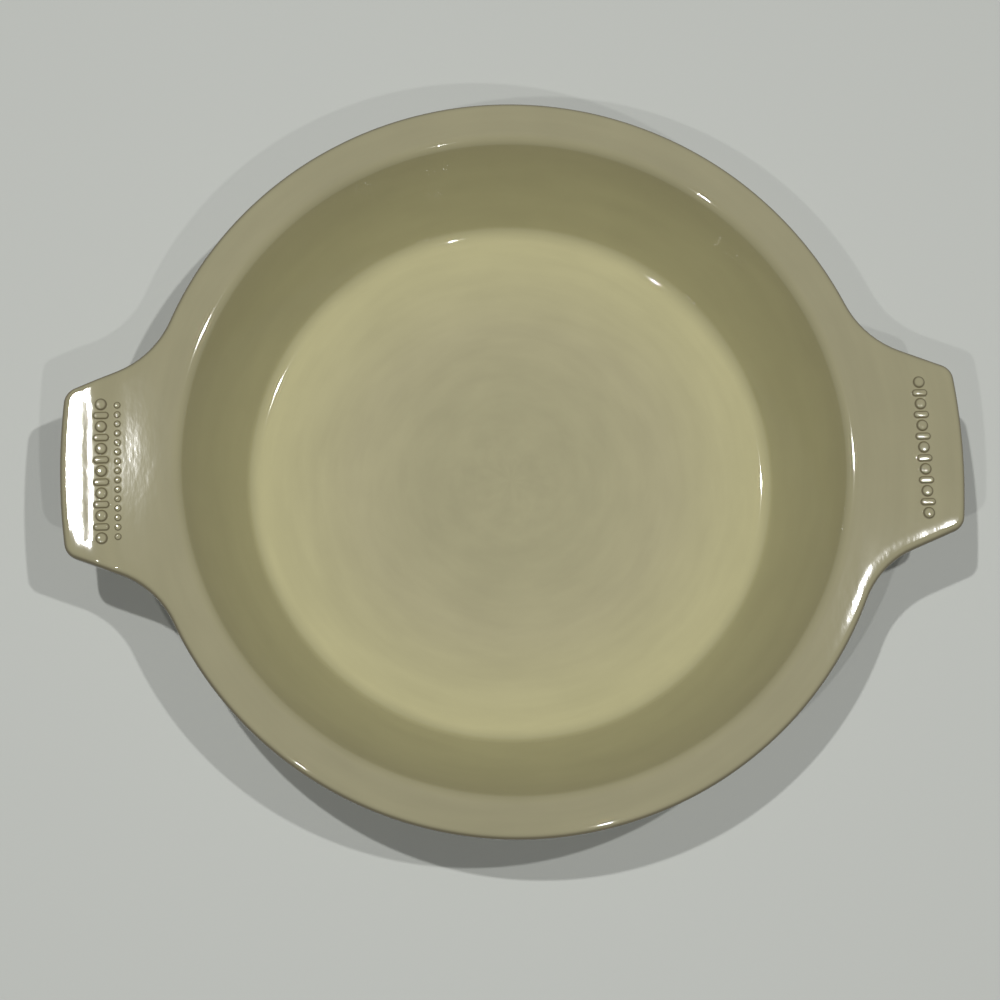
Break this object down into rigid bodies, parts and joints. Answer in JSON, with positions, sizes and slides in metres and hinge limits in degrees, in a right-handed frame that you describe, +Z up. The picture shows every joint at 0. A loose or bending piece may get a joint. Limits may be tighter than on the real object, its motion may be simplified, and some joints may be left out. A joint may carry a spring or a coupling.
{
  "type": "pie dish",
  "caption": "Round glazed stoneware pie dish with a flat rim, sloping wall, foot ring and a flared lug handle on each side.",
  "frame": {"origin": "centre of the foot ring's standing face, on the surface that the dish stands on", "axes": "+Z up out of the dish, +X towards the right lug, +Y towards the far side of the rim"},
  "size_m": [0.306, 0.254, 0.0438],
  "materials": {
    "stoneware": "bare fired stoneware, fine grained and matte",
    "glaze": "smooth glossy cream glaze"
  },
  "bodies": {
    "root": {"dish_body": "stoneware", "left_lug": "stoneware", "right_lug": "stoneware", "left_bead_row": "stoneware", "left_pearl_row": "stoneware", "right_bead_row": "stoneware", "glaze_coat": "glaze", "recess_glaze": "glaze"}
  },
  "joints": []
}
